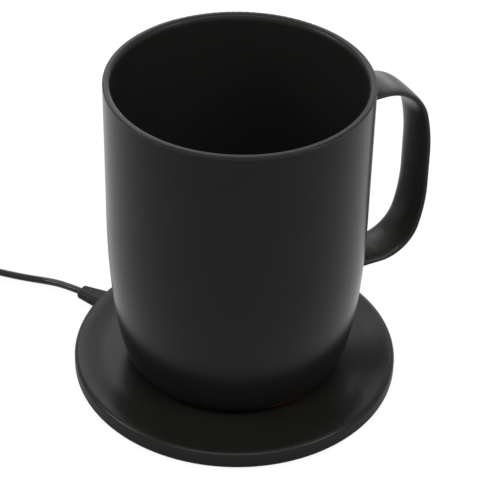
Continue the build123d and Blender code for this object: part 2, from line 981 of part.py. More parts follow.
def contact_pin(place):
    """One pin: a rounded tip and the flange that keeps it in its barrel."""
    tip = peg(place, pin_radius, pin_flange_low, pin_top)
    tip = fillet(tip.edges().group_by(Axis.Z)[-1], pin_tip_round)
    return tip + peg(place, pin_flange_radius, pin_flange_low, pin_flange_low + pin_flange_height)


def pin_spring(place):
    """Fine spring under one pin, as a closed sleeve of its outer size."""
    low = barrel_low + pin_wall
    sleeve = peg(place, spring_radius, low, pin_flange_low)
    return sleeve - peg(place, spring_radius - spring_wire, low - overrun, pin_flange_low + overrun)


def cord_boot():
    """Tapered strain relief: an anchor inside the wall, a neck through it and a taper outside."""
    inner = coaster_radius - coaster_wall
    anchor = boot_box(boot_anchor_width, boot_anchor_height, inner - boot_anchor_depth, inner)
    neck = boot_box(boot_root_width, boot_root_height, inner - boot_anchor_depth, coaster_radius)
    root = boot_section(boot_root_width, boot_root_height)
    tip = boot_section(boot_tip_width, boot_tip_height)
    start = boot_frame(coaster_radius)
    finish = boot_frame(coaster_radius + boot_length)
    taper = loft([start * root, finish * tip], ruled=True)
    end = taper.faces().filter_by(lambda face: face.normal_at().dot(boot_frame(0).z_dir) > 0.99)
    taper = fillet(end.edges(), boot_tip_round)
    return anchor + neck + taper


def easy_radii(points):
    """A bend radius for each corner of a route: as large as its two runs allow."""
    radii = []
    for before, here, after in zip(points, points[1:], points[2:]):
        arriving = Vector(here) - Vector(before)
        leaving = Vector(after) - Vector(here)
        half_turn = radians(arriving.get_angle(leaving)) / 2
        shorter = min(arriving.length, leaving.length)
        radii.append(0.45 * shorter / tan(half_turn))
    return radii


def cord_tube(points):
    """A length of cord along straight runs joined by the easiest bends."""
    radii = easy_radii(points)
    path = FilletPolyline(*points, radius=radii)
    tube = sweep(Plane(origin=path @ 0, z_dir=path % 0) * Circle(cord_diameter / 2), path=path)
    expected = pi * cord_diameter**2 / 4 * path.length
    print("  radii", [round(radius, 1) for radius in radii], "length", round(path.length, 1))
    print("  volume over section times length", round(tube.volume / expected, 4))
    return tube


def outward(angle):
    """The level direction at an angle from the X axis."""
    return Vector(cos(radians(angle)), sin(radians(angle)), 0)


def coil_low():
    """Height of the lowest turn's middle, which leaves room for the tie under it."""
    return cord_diameter / 2 + tie_thickness + tie_clearance


def coil_path():
    """The coil's middle line: quarter arcs that spiral in, climb a layer and spiral out again."""
    quarters = 4 * coil_turns_per_layer
    step = coil_pitch / 4
    radius = coil_mean_radius + quarters * step / 2
    middle = Vector(*coil_centre, coil_low())
    angle = coil_entry_angle
    first = middle + outward(angle) * radius
    edges = [Edge.make_line(first - outward(angle + 90) * cord_diameter, first)]
    for layer in range(coil_layers):
        last = layer == coil_layers - 1
        for _ in range(coil_last_quarters if last else quarters):
            start = middle + outward(angle) * radius
            end = middle + outward(angle + 90) * radius
            edges.append(Edge.make_tangent_arc(start, outward(angle + 90), end))
            shrink = step if layer % 2 == 0 else -step
            angle += 90
            radius -= shrink
            middle = middle + outward(angle) * shrink
        if not last:
            start = middle + outward(angle) * radius
            rise = Vector(0, 0, coil_pitch)
            end = middle - outward(angle) * radius + rise
            reach = sqrt(radius**2 + coil_pitch**2 / 4)
            halfway = (start + end) / 2 + outward(angle + 90) * reach
            climb = Edge.make_tangent_arc(start, outward(angle + 90), halfway)
            edges.append(climb)
            edges.append(Edge.make_tangent_arc(halfway, climb % 1, end))
            angle += 180
            middle = middle + rise
    final = edges[-1]
    edges.append(Edge.make_line(final @ 1, final @ 1 + (final % 1) * cord_diameter))
    return edges


def coil_clearance(edges):
    """The least gap between any two turns of the coil, measured on points along it."""
    steps = 12
    turns = edges[1:-1]
    spots = [edge @ (number / steps) for edge in turns for number in range(steps)]
    spacing = min(edge.length for edge in turns) / steps
    skip = ceil(6 * cord_diameter / spacing)
    least = min(
        (spots[first] - spots[second]).length
        for first in range(len(spots))
        for second in range(first + skip, len(spots))
    )
    return least - cord_diameter


def cord_coil():
    """The put-away length as one unbroken tube wound in layers."""
    edges = coil_path()
    path = Wire(edges)
    length = sum(edge.length for edge in edges)
    print("  coil length", round(length, 1), "least gap to itself", round(coil_clearance(edges), 2))
    start = Plane(origin=edges[0] @ 0, z_dir=edges[0] % 0)
    tube = sweep(start * Circle(cord_diameter / 2), path=path)
    expected = pi * cord_diameter**2 / 4 * length
    print("  volume over section times length", round(tube.volume / expected, 4))
    return tube


def coil_start():
    """Where the coil begins, and the way it leaves there."""
    first = coil_path()[0]
    return first @ 0, first % 0


def coil_end():
    """Where the coil ends, and the way it leaves there."""
    final = coil_path()[-1]
    return final @ 1, final % 1


def cord_lead():
    """The cord from the strain relief down to the table and across to the coil."""
    way_out = outward(cord_exit_angle)
    start = way_out * (coaster_radius + boot_length) + Vector(0, 0, cord_height)
    place, way = coil_start()
    middle = [Vector(*spot) for spot in lead_places]
    first = start + way_out * lead_first_run
    return cord_tube([start, first, *middle, place - way * lead_last_run, place])


def tail_route():
    """The points of the cord from the coil to the adapter's strain relief, and its last direction."""
    place, way = coil_end()
    climb = adapter_width / 2 - place.Z
    points = [place]
    for number, share in enumerate(tail_rises):
        if number > 0:
            way = way.rotate(Axis.Z, tail_turn)
        points.append(points[-1] + way * tail_run + Vector(0, 0, climb * share))
    return points, way


def cord_tail():
    """The last of the cord, from the top of the coil to the adapter's strain relief."""
    points, _ = tail_route()
    return cord_tube(points)


def adapter_frame():
    """The adapter's frame: X from the cord's end along its body, Z up, on the middle of that end."""
    points, way = tail_route()
    return Plane(origin=points[-1] + way * adapter_boot_length, x_dir=way, z_dir=(0, 0, 1))


def cord_tie():
    """Soft strap round the coil's bundle."""
    spread = coil_turns_per_layer * coil_pitch / 2 + coil_pitch / 4
    half = spread + cord_diameter / 2 + tie_clearance
    tall = (coil_layers - 1) * coil_pitch + cord_diameter + 2 * tie_clearance
    angle = radians(tie_angle)
    away = Vector(cos(angle), sin(angle), 0)
    origin = Vector(*coil_centre, tie_thickness + tall / 2) + away * coil_mean_radius
    across = Plane(origin=origin, x_dir=away, z_dir=(-sin(angle), cos(angle), 0))
    inner = RectangleRounded(2 * half, tall, tie_round)
    strap = offset(inner, tie_thickness) - inner
    return extrude(across * strap, tie_width / 2, both=True)


def placed(solid):
    """A piece of the adapter, moved from its own frame to where it lies."""
    return adapter_frame().location * solid


def adapter_shell():
    """Hollow body of the adapter, open on the side that faces the wall."""
    body = Pos(adapter_length / 2, 0, 0) * Box(adapter_length, adapter_depth, adapter_width)
    body = fillet(body.edges().filter_by(Axis.Y), adapter_edge_round)
    room = Pos(adapter_length / 2, adapter_wall, 0) * Box(
        adapter_length - 2 * adapter_wall, adapter_depth, adapter_width - 2 * adapter_wall
    )
    hole = Rot(0, 90, 0) * Cylinder(adapter_boot_tip_radius + running_gap, 4 * adapter_wall)
    return placed(without(body, room, cover_plate(0), hole))


def cover_plate(gap):
    """The plate that closes the adapter's open side, smaller than its rebate by a gap."""
    inset = 2 * (adapter_wall - adapter_ledge + gap)
    depth = adapter_cover_thickness
    plate = Box(adapter_length - inset, depth, adapter_width - inset)
    plate = fillet(plate.edges().filter_by(Axis.Y), adapter_edge_round - adapter_wall + adapter_ledge)
    return Pos(adapter_length / 2, (adapter_depth - depth) / 2, 0) * plate


def adapter_cover():
    """Wall side of the adapter, set in a rebate, with slots for the two blades."""
    return placed(without(cover_plate(running_gap), *blade_solids(running_gap)))


def blade_solids(growth):
    """The two blades in the adapter's frame, grown by a clearance for the holes they pass."""
    reach = adapter_length * blade_place_share
    back = adapter_depth / 2
    blades = []
    for side in (-1, 1):
        z = side * blade_spacing / 2
        blade = block(
            (reach - blade_width / 2 - growth, back - blade_root, z - blade_thickness / 2 - growth),
            (reach + blade_width / 2 + growth, back + blade_length, z + blade_thickness / 2 + growth),
        )
        blades.append(blade)
    return blades


def adapter_blades():
    """Two flat blades with rounded tips and a hole near each tip."""
    reach = adapter_length * blade_place_share
    tip = adapter_depth / 2 + blade_length
    blades = []
    for blade in blade_solids(0):
        corners = blade.edges().filter_by(Axis.Z).group_by(Axis.Y)[-1]
        blade = fillet(corners, blade_tip_round)
        hole = Pos(reach, tip - blade_hole_setback, 0) * Cylinder(blade_hole_radius, adapter_width)
        blades.append(placed(blade - hole))
    return Compound(blades)


def adapter_board():
    """Board inside the adapter, with its transformer and two capacitors."""
    inside = adapter_width / 2 - adapter_wall
    low = -inside
    top = low + adapter_board_thickness
    start = adapter_wall + adapter_board_margin
    end = adapter_length - adapter_wall - adapter_board_margin
    half_depth = adapter_depth / 2 - adapter_wall
    depth_high = adapter_depth / 2 - blade_root - adapter_board_margin
    board = block((start, -half_depth, low), (end, depth_high, top))
    core_start = start + adapter_board_margin
    core = block(
        (core_start, -half_depth + seat_gap, top - overrun / 4),
        (core_start + transformer_length, -half_depth + transformer_width, top + transformer_height),
    )
    board = board + core
    for number in (0, 1):
        place = adapter_board_margin + capacitor_radius * (1 + 2.2 * number)
        x = core_start + transformer_length + place
        y = -half_depth + seat_gap + capacitor_radius
        board = board + Pos(x, y, top - overrun / 4) * Cylinder(
            capacitor_radius, capacitor_height, align=on_floor
        )
    return placed(board)


def adapter_boot():
    """Ribbed, tapered strain relief at the adapter's cord end."""
    length = adapter_boot_length
    root = adapter_boot_root_radius
    tip = adapter_boot_tip_radius
    cone = Rot(0, -90, 0) * Cone(root, tip, length, align=on_floor)
    cuts = []
    for number in range(adapter_boot_grooves):
        place = -length * (number + 1) / (adapter_boot_grooves + 1)
        outer = root * 2
        inner = root + (tip - root) * -place / length - adapter_boot_groove_depth
        groove = Cylinder(outer, adapter_boot_flange) - Cylinder(inner, adapter_boot_flange)
        cuts.append(Pos(place, 0, 0) * Rot(0, 90, 0) * groove)
    stem = Rot(0, 90, 0) * Cylinder(tip, adapter_wall + adapter_boot_flange, align=on_floor)
    keeper = Rot(0, 90, 0) * Cylinder(root, adapter_boot_flange, align=on_floor)
    return placed(without(cone, *cuts) + stem + Pos(adapter_wall, 0, 0) * keeper)


parts = {
    "mug_shell": mug_shell,
    "mug_liner": mug_liner,
    "handle": handle,
    "led_window": led_window,
    "led_board": led_board,
    "mounting_ring": mounting_ring,
    "base_cap": base_cap,
    "base_gasket": base_gasket,
    "base_screws": base_screws,
    "foot_ring": foot_ring,
    "contact_disc": contact_disc,
    "contact_ring": contact_ring,
    "contact_board": contact_board,
    "tact_switch": tact_switch,
    "power_button": power_button,
    "battery_cells": battery_cells,
    "battery_holder": battery_holder,
    "battery_tabs": battery_tabs,
    "board_link": board_link,
    "control_board": control_board,
    "board_components": board_components,
    "board_screws": board_screws,
    "insulation_pad": insulation_pad,
    "heat_spreader": heat_spreader,
    "heater_film": heater_film,
    "heater_lead": heater_lead,
    "temperature_sensor": temperature_sensor,
    "sensor_lead": sensor_lead,
    "coaster_top": coaster_top,
    "coaster_base": coaster_base,
    "coaster_foot": coaster_foot,
    "coaster_screws": coaster_screws,
    "coaster_board": coaster_board,
    "coaster_lead": coaster_lead,
    "pin_block": pin_block,
    "pin_barrels": pin_barrels,
    "pin_spring_inner": lambda: pin_spring(pin_places()[0]),
    "pin_spring_outer": lambda: pin_spring(pin_places()[1]),
    "contact_pin_inner": lambda: contact_pin(pin_places()[0]),
    "contact_pin_outer": lambda: contact_pin(pin_places()[1]),
    "cord_boot": cord_boot,
    "cord_lead": cord_lead,
    "cord_coil": cord_coil,
    "cord_tail": cord_tail,
    "cord_tie": cord_tie,
    "adapter_shell": adapter_shell,
    "adapter_cover": adapter_cover,
    "adapter_blades": adapter_blades,
    "adapter_board": adapter_board,
    "adapter_boot": adapter_boot,
}

os.makedirs("parts", exist_ok=True)
for name, make in parts.items():
    print(name)
    export_step(make(), f"parts/{name}.step")
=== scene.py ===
# %% [markdown]
# # A heated mug on its charging coaster
#
# This lesson dresses a finished model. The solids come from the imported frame, which places and
# measures them. Here they get their finishes, their cord, a camera and a studio.
#
# The mug is a black steel cup. Its side drops straight from the rim and then curls in to a smaller
# foot. It stands on a thin round coaster with a rubber foot, and a thin cord leaves the coaster at
# the back.

import json
from math import cos, pi, radians, sin

import bmesh
import bpy
from mathutils import Matrix, Vector


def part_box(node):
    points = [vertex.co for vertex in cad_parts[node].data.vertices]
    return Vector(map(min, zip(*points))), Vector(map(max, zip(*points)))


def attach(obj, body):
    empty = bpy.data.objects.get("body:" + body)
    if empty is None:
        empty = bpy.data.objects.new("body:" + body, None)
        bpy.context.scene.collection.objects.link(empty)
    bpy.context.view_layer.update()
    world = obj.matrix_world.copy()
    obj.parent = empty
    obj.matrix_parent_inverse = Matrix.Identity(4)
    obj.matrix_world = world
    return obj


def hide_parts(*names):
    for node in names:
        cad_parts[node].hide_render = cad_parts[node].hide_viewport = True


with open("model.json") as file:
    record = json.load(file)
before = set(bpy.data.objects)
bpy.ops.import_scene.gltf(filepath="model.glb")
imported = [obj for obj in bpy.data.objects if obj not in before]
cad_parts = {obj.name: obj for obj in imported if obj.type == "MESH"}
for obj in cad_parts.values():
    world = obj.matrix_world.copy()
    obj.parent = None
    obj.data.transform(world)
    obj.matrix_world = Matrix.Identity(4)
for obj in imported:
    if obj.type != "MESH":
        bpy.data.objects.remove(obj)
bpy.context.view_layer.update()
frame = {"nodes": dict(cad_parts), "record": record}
nodes = frame["nodes"]
mm = 0.001


def in_mm(sides):
    """Lengths in millimetres, rounded for printing."""
    return [round(side / mm, 1) for side in sides]


# %% [markdown]
# ## The camera
#
# The photograph was taken with a long lens from in front, to the left and above. The rim, the foot
# and the coaster are circles, so their ellipses in the photograph give the camera's place, tilt
# and lens. The camera is leaned over by about a degree, as the photograph is.
#
# A direction that turns with the camera is handy for lamps too: right, back and up, as the camera
# sees them. `as_seen` turns such a direction into the frame's own axes.

# %% Place the camera
heading = radians(-29.0)
camera_back = -474.02 * mm
camera_height = 402.63 * mm
camera_tilt = radians(36.738)
camera_turn = radians(-0.1225)
camera_roll = radians(1.2236)
lens_length = 143.893
sensor_width = 36.0
nearest_seen = 0.05
furthest_seen = 20.0
turned_frame = Matrix.Rotation(heading, 3, "Z")


def as_seen(right, back, up):
    """A place given to the right of, behind and above the origin as the camera sees it."""
    return turned_frame @ Vector((right, back, up))


def add_object(name, data):
    """A new object in the scene that holds this data."""
    made = bpy.data.objects.new(name, data)
    bpy.context.scene.collection.objects.link(made)
    return made


camera = add_object("camera", bpy.data.cameras.new("camera"))
camera.data.lens = lens_length
camera.data.sensor_width = sensor_width
camera.data.clip_start = nearest_seen
camera.data.clip_end = furthest_seen
aim = (
    Matrix.Rotation(heading + camera_turn, 4, "Z")
    @ Matrix.Rotation(pi / 2 - camera_tilt, 4, "X")
    @ Matrix.Rotation(camera_roll, 4, "Z")
)
camera.matrix_world = Matrix.Translation(as_seen(0, camera_back, camera_height)) @ aim
bpy.context.scene.camera = camera
print("camera at", [round(part, 3) for part in camera.matrix_world.translation])

# %% [markdown]
# ## The cord
#
# The cord is 2.4 mm thick and rather limp. It leaves the coaster's strain relief level, drops to
# the table within a few centimetres and goes off to the back left, as the photograph shows. The
# rest of its length is wound up beside the view: four layers of three turns, the last a quarter
# turn short, then a short tail to the wall adapter.
#
# A NURBS curve of order 3 is drawn towards its points without touching them, which gives the soft
# bends of a real cord. On a circle such a curve lies a little inside its points, so the coil's
# points stand a little further out than its turns.

# %% Measures of the cord
cord_thickness = 2.4 * mm
lead_places = [
    (-30.68, 51.68, 3.4),
    (-32.52, 54.77, 3.4),
    (-35.3, 60.9, 2.2),
    (-38.6, 65.6, 1.2),
    (-44.9, 71.2, 1.2),
    (-52.3, 79.2, 1.2),
]
coil_centre = Vector((-78.1, 78.7, 2.05)) * mm
coil_mean_radius = 14.2 * mm
coil_pitch = 3.3 * mm
coil_layers = 4
coil_turns = 3
coil_last_quarters = 11
coil_entry = 41.0
print("coil of", coil_layers, "layers,", coil_turns, "turns in a full one")

# %% Wind the coil
steps_per_quarter = 4
step_angle = 90 / steps_per_quarter
inside_share = (3 + cos(radians(step_angle))) / 4


def outward(angle):
    """The level direction at an angle from the X axis."""
    return Vector((cos(radians(angle)), sin(radians(angle)), 0))


def coil_points():
    """Points of the coil's turns: in, up a layer over half a turn, out, up, and so on."""
    quarters = 4 * coil_turns
    step = coil_pitch / 4
    radius = coil_mean_radius + quarters * step / 2
    middle = coil_centre.copy()
    angle = coil_entry
    points = [middle + outward(angle) * radius]
    for layer in range(coil_layers):
        last = layer == coil_layers - 1
        for _ in range(coil_last_quarters if last else quarters):
            for number in range(steps_per_quarter):
                way = outward(angle + (number + 0.5) * step_angle)
                points.append(middle + way * radius / inside_share)
            shrink = step if layer % 2 == 0 else -step
            angle += 90
            radius -= shrink
            middle = middle + outward(angle) * shrink
        if not last:
            for number in range(2 * steps_per_quarter):
                turn = (number + 0.5) * step_angle
                way = outward(angle + turn)
                rise = coil_pitch * (1 - cos(radians(turn))) / 2
                points.append(middle + way * radius / inside_share + Vector((0, 0, rise)))
            angle += 180
            middle = middle + Vector((0, 0, coil_pitch))
    points.append(middle + outward(angle) * radius)
    return points, outward(angle + 90)


turns, leaving = coil_points()
print("points in the coil", len(turns))

# %% Join the lead, the coil and the tail
lead_last_run = 7.2 * mm
tail_run = 5.6 * mm
tail_turn = 5.0
tail_rises = [0.0, 0.25, 0.5, 0.25, 0.0]
adapter_height = 26 * mm


def cord_route():
    """All the cord's points, from the strain relief to the adapter."""
    arriving = outward(coil_entry + 90)
    first = turns[0] - arriving * cord_thickness
    lead = [Vector(place) * mm for place in lead_places]
    lead += [first - arriving * lead_last_run, first]
    tail = [turns[-1] + leaving * cord_thickness]
    climb = adapter_height / 2 - tail[0].z
    for number, share in enumerate(tail_rises):
        way = Matrix.Rotation(radians(number * tail_turn), 3, "Z") @ leaving
        tail.append(tail[-1] + way * tail_run + Vector((0, 0, climb * share)))
    return lead + turns + tail


route = cord_route()
print("cord points", len(route))

# %% Draw the cord
cord_round_steps = 4
cord_smooth_steps = 6


def draw_cord(name, points, thickness):
    """A round cord along points, as one smooth open curve whose points carry its radius."""
    curve = bpy.data.curves.new(name, "CURVE")
    curve.dimensions = "3D"
    curve.bevel_depth = 1.0
    curve.bevel_resolution = cord_round_steps
    curve.resolution_u = cord_smooth_steps
    curve.use_fill_caps = True
    line = curve.splines.new("NURBS")
    line.points.add(len(points) - 1)
    for spot, place in zip(line.points, points):
        spot.co = (*place, 1.0)
        spot.radius = thickness / 2
    line.order_u = 3
    line.use_endpoint_u = True
    return add_object(name, curve)


cord = draw_cord("cord", route, cord_thickness)
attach(cord, "coaster")
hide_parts("cord_lead", "cord_coil", "cord_tail")

# %% [markdown]
# ## The tie round the coil
#
# A soft strap holds the coil together. It is a closed band with rounded corners that passes under
# the lowest layer and over the highest one. A bevelled curve would do too, but a band built from
# rings of vertices keeps its inside flat on the cord and its edges rounded.
#
# The handle is built from rings too, so both use the same two helpers: one joins rings with faces,
# and one makes a piece of the mesh, which rides on a body and stands for a solid.

# %% Helpers for pieces built from rings
def join_rings(built, rings):
    """Faces between each ring of vertices and the next."""
    for first, second in zip(rings, rings[1:]):
        for number in range(len(first)):
            following = (number + 1) % len(first)
            built.faces.new(
                (first[number], first[following], second[following], second[number])
            )


def add_mesh(name, built):
    """A new object in the scene from the mesh being built."""
    mesh = bpy.data.meshes.new(name)
    built.to_mesh(mesh)
    built.free()
    return add_object(name, mesh)


def new_piece(name, built, body, slot, *replaced):
    """A smooth-shaded piece that rides on a body and stands for solids of the frame."""
    bmesh.ops.recalc_face_normals(built, faces=built.faces)
    piece = add_mesh(name, built)
    for face in piece.data.polygons:
        face.use_smooth = True
    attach(piece, body)
    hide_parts(*replaced)
    print(name, "has", len(piece.data.polygons), "faces")
    return piece


print("helpers ready")

# %% Build the tie
tie_low, tie_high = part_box("cord_tie")
tie_angle = 225.0
tie_width = 5.0 * mm
tie_thickness = 0.5 * mm
tie_edge = tie_thickness * 0.4
tie_corner = 2.0 * mm
tie_corner_steps = 8
tie_gap = 0.35 * mm
tie_half_span = coil_turns * coil_pitch / 2 + coil_pitch / 4 + cord_thickness / 2 + tie_gap
tie_half_height = (tie_high.z - tie_low.z) / 2 - tie_thickness


def rounded_loop(half_span, half_height, corner):
    """Points round a rectangle with round corners, in its own plane."""
    loop = []
    for quarter, (side, up) in enumerate([(1, 1), (-1, 1), (-1, -1), (1, -1)]):
        for number in range(tie_corner_steps + 1):
            angle = radians(90 * quarter + 90 * number / tie_corner_steps)
            across = side * (half_span - corner) + corner * cos(angle)
            height = up * (half_height - corner) + corner * sin(angle)
            loop.append((across, height))
    return loop


def tie_strap():
    """The strap: a cross-section with soft edges carried round the bundle."""
    away = outward(tie_angle)
    along = outward(tie_angle + 90)
    middle_height = (tie_low.z + tie_high.z) / 2
    centre = Vector((coil_centre.x, coil_centre.y, middle_height)) + away * coil_mean_radius
    half = tie_width / 2
    section = [
        (-half + tie_edge, 0.0),
        (half - tie_edge, 0.0),
        (half, tie_edge),
        (half, tie_thickness - tie_edge),
        (half - tie_edge, tie_thickness),
        (-half + tie_edge, tie_thickness),
        (-half, tie_thickness - tie_edge),
        (-half, tie_edge),
    ]
    built = bmesh.new()
    rings = []
    for across, out in section:
        loop = rounded_loop(tie_half_span + out, tie_half_height + out, tie_corner + out)
        start = centre + along * across
        rings.append([built.verts.new(start + away * x + Vector((0, 0, z))) for x, z in loop])
    join_rings(built, rings + rings[:1])
    return built


tie = new_piece("coil_tie", tie_strap(), "coaster", "soft_black", "cord_tie")

adapter_pieces = [nodes[name] for name in nodes if name.startswith("adapter_")]
print("pieces on the cord", len(adapter_pieces) + 1)

# %% [markdown]
# ## The handle
#
# The handle is a steel strap bent into an ear and welded to the cup at both ends. Its outside is
# nearly flat and its inside is crowned, so its edges are thin and the light runs off them in a
# soft gradient. A bevelled curve could twist at the bends, so the strap is swept ring by ring: its
# middle line is a chain of straight runs and arcs beside the cup, and each ring is a flattened
# oval across it. The two end rings follow the cup's wall, a little inside its surface.
#
# The measures below are in millimetres. Each corner is a distance from the mug's axis and a
# height.

# %% Bend the strap's middle line
strap_corners = [
    (39.0, 91.8),
    (59.4, 91.8),
    (64.1, 72.2),
    (64.3, 46.7),
    (59.5, 28.7),
    (38.0, 29.4),
]
strap_bends = [16.0, 60.0, 56.0, 13.2]
bend_steps = 16


def bent_line(corners, bends):
    """Points and directions along straight runs joined by arcs."""
    places = [Vector(corner) for corner in corners]
    stops = [(places[0], (places[1] - places[0]).normalized())]
    for before, corner, after, bend in zip(places, places[1:], places[2:], bends):
        back = (before - corner).normalized()
        on = (after - corner).normalized()
        half = back.angle(on) / 2
        centre = corner + (back + on).normalized() * bend / sin(half)
        start = corner + back * bend * cos(half) / sin(half) - centre
        swing = 2 * half - pi
        for number in range(bend_steps + 1):
            turn = Matrix.Rotation(swing * number / bend_steps, 2)
            stops.append((centre + turn @ start, turn @ -back))
    stops.append((places[-1], (places[-1] - places[-2]).normalized()))
    return stops


strap_stops = bent_line(strap_corners, strap_bends)
print("stops along the strap", len(strap_stops))

# %% Round the strap's section
strap_half_width = 7.4
strap_lift = 0.17
strap_crown_outside = 0.95
strap_crown_inside = 2.1
strap_fullness_outside = 3.0
strap_fullness_inside = 2.0
oval_steps = 40


def oval_ring():
    """Across and outward steps round the strap's section: flatter outside, rounder inside."""
    ring = []
    for number in range(oval_steps):
        angle = 2 * pi * (number + 0.5) / oval_steps
        aside, rise = cos(angle), sin(angle)
        fullness = strap_fullness_outside if rise > 0 else strap_fullness_inside
        crown = strap_crown_outside if rise > 0 else strap_crown_inside
        across = abs(aside) ** (2 / fullness) * (1 if aside > 0 else -1)
        up = abs(rise) ** (2 / fullness) * (1 if rise > 0 else -1)
        ring.append((strap_half_width * across, strap_lift + crown * up))
    return ring


section_heights = [up for across, up in oval_ring()]
print("strap thickness in mm", round(max(section_heights) - min(section_heights), 2))

# %% Sweep the strap
waist_height = 60.0
waist_radius = 39.9
curl = 7.6
curl_drop = 52.3
wall_inset = 0.4


def wall_radius(height):
    """The cup's outer radius at a height."""
    if height > waist_height:
        return waist_radius
    share = (waist_height - height) / curl_drop
    return waist_radius - curl + curl * (1 - share**2) ** 0.5


def sweep_strap():
    """The strap, ring by ring, with its end rings on the cup's wall."""
    built = bmesh.new()
    rings = []
    for number, (place, way) in enumerate(strap_stops):
        ring = []
        for across, out in oval_ring():
            x, z = place.x - way.y * out, place.y + way.x * out
            if number in (0, len(strap_stops) - 1):
                x = ((wall_radius(z) - wall_inset) ** 2 - across**2) ** 0.5
            ring.append(built.verts.new(Vector((x, across, z)) * mm))
        rings.append(ring)
    join_rings(built, rings)
    built.faces.new(rings[0])
    built.faces.new(rings[-1])
    return built


strap = new_piece("handle_strap", sweep_strap(), "mug", "coating", "handle")

# %% [markdown]
# ## Shader maths that reads as maths
#
# A finish is a small graph of nodes. `Flow` wraps one output of a node, and its operators add Math
# nodes, so `0.3 + grain * 0.1` means what it says. `Graph` wraps a whole tree of nodes and has one
# method, `add`, that makes any other node: its settings come first and then the values or links
# of its sockets. `Finish` is the graph of a material.

# %% Wrap a socket
class Flow:
    """An output socket that carries a number or a colour over a surface."""

    def __init__(self, graph, socket):
        self.graph = graph
        self.socket = socket

    def _maths(self, operation, first, second):
        return self.graph.add("ShaderNodeMath", {"operation": operation}, {0: first, 1: second})

    def __add__(self, other):
        return self._maths("ADD", self, other)

    def __radd__(self, other):
        return self._maths("ADD", other, self)

    def __sub__(self, other):
        return self._maths("SUBTRACT", self, other)

    def __rsub__(self, other):
        return self._maths("SUBTRACT", other, self)

    def __mul__(self, other):
        return self._maths("MULTIPLY", self, other)

    def __rmul__(self, other):
        return self._maths("MULTIPLY", other, self)

    def __truediv__(self, other):
        return self._maths("DIVIDE", self, other)

    def __rtruediv__(self, other):
        return self._maths("DIVIDE", other, self)

    def __pow__(self, other):
        return self._maths("POWER", self, other)

    def __rpow__(self, other):
        return self._maths("POWER", other, self)


print("a socket can now be added, subtracted, multiplied, divided and raised to a power")

# %% Wrap a graph of nodes
class Graph:
    """A tree of nodes, with one method that adds any node."""

    def __init__(self, tree):
        self.tree = tree

    def fill(self, socket, value):
        """Link a flow to a socket, or set the socket to a value."""
        if isinstance(value, Flow):
            self.tree.links.new(value.socket, socket)
        elif socket.type == "RGBA":
            socket.default_value = (*value, 1.0)
        else:
            socket.default_value = value

    def add(self, kind, settings=None, sockets=None, out=0):
        """Add a node: settings first, then its sockets, and give back one of its outputs."""
        made = self.tree.nodes.new(kind)
        for name, value in (settings or {}).items():
            setattr(made, name, value)
        for name, value in (sockets or {}).items():
            self.fill(made.inputs[name], value)
        return Flow(self, made.outputs[out])

    def larger(self, first, second):
        """The larger of two numbers."""
        return self.add("ShaderNodeMath", {"operation": "MAXIMUM"}, {0: first, 1: second})

    def ray(self, kind):
        """1 for light rays of one kind, such as those the camera sees, and 0 for others."""
        return self.add("ShaderNodeLightPath", out=kind)


print("graph helpers ready")

# %% Wrap a material
class Finish(Graph):
    """A material under construction, with its shader's plain sockets set by name."""

    def __init__(self, name, **sockets):
        self.material = bpy.data.materials.new(name)
        self.material.use_nodes = True
        super().__init__(self.material.node_tree)
        self.shader = self.tree.nodes["Principled BSDF"]
        for socket, value in sockets.items():
            self.set(socket.replace("_", " "), value)

    def set(self, socket, value):
        """Set one socket of the shader to a value or to a flow."""
        self.fill(self.shader.inputs[socket], value)

    def place(self):
        """Where a point is on the piece, in metres."""
        return self.add("ShaderNodeTexCoord", out="Object")

    def noise(self, size, detail=2.0, roughness=0.5, stretch=None):
        """Soft noise from 0 to 1 whose blotches are about as wide as `size`."""
        where = self.place()
        if stretch:
            where = self.add("ShaderNodeMapping", sockets={"Vector": where, "Scale": stretch})
        texture = {"Scale": 1.0 / size, "Detail": detail, "Roughness": roughness}
        return self.add("ShaderNodeTexNoise", sockets={"Vector": where, **texture})

    def ramp(self, number, low, high, floor_value):
        """Rise softly from `floor_value` to 1 as a number goes from `low` to `high`."""
        span = {"From Min": low, "From Max": high, "To Min": floor_value, "To Max": 1.0}
        return self.add(
            "ShaderNodeMapRange", {"interpolation_type": "SMOOTHSTEP"}, {"Value": number, **span}
        )

    def mix(self, factor, first, second):
        """A colour between two colours."""
        return self.add(
            "ShaderNodeMix", {"data_type": "RGBA"}, {"Factor": factor, 6: first, 7: second}, out=2
        )

    def bump(self, height, distance, strength):
        """Let a height field tilt the surface."""
        heights = {"Height": height, "Distance": distance, "Strength": strength}
        self.set("Normal", self.add("ShaderNodeBump", sockets=heights))


noise_middle = 0.5


def swing(noise, size):
    """A noise as a change to both sides of zero, `size` from end to end."""
    return (noise - noise_middle) * size


print("material helpers ready")

# %% [markdown]
# ## The coating of the mug
#
# The steel is sprayed with a satin black coat and baked. From a step away it is an even, warm
# black with wide soft reflections. Close up it has the faint pebbling of a sprayed coat, and its
# sheen wanders a little. Both come from noise: a fine one tilts the surface, and both it and a
# wide one move the roughness.
#
# The handle and the inner cup look lighter than the mug's side, so each has a rougher copy of the
# same coat, and its paler tone is painted light.

# %% Sprayed black coat
coat_cloud_size = 22 * mm
coat_cloud_swing = 0.06
coat_grain_size = 0.55 * mm
coat_grain_swing = 0.03
coat_pebble_depth = 0.003 * mm


def sprayed_coat(name, dark, light, roughness, gloss_level):
    """Satin black coat with fine pebbling."""
    finish = Finish(name, Specular_IOR_Level=gloss_level)
    cloud = finish.noise(coat_cloud_size, detail=3.0)
    grain = finish.noise(coat_grain_size, detail=1.0)
    finish.set("Base Color", finish.mix(cloud, dark, light))
    wander = swing(cloud, coat_cloud_swing)
    finish.set("Roughness", roughness + wander + swing(grain, coat_grain_swing))
    finish.bump(grain, coat_pebble_depth, strength=0.5)
    return finish.material


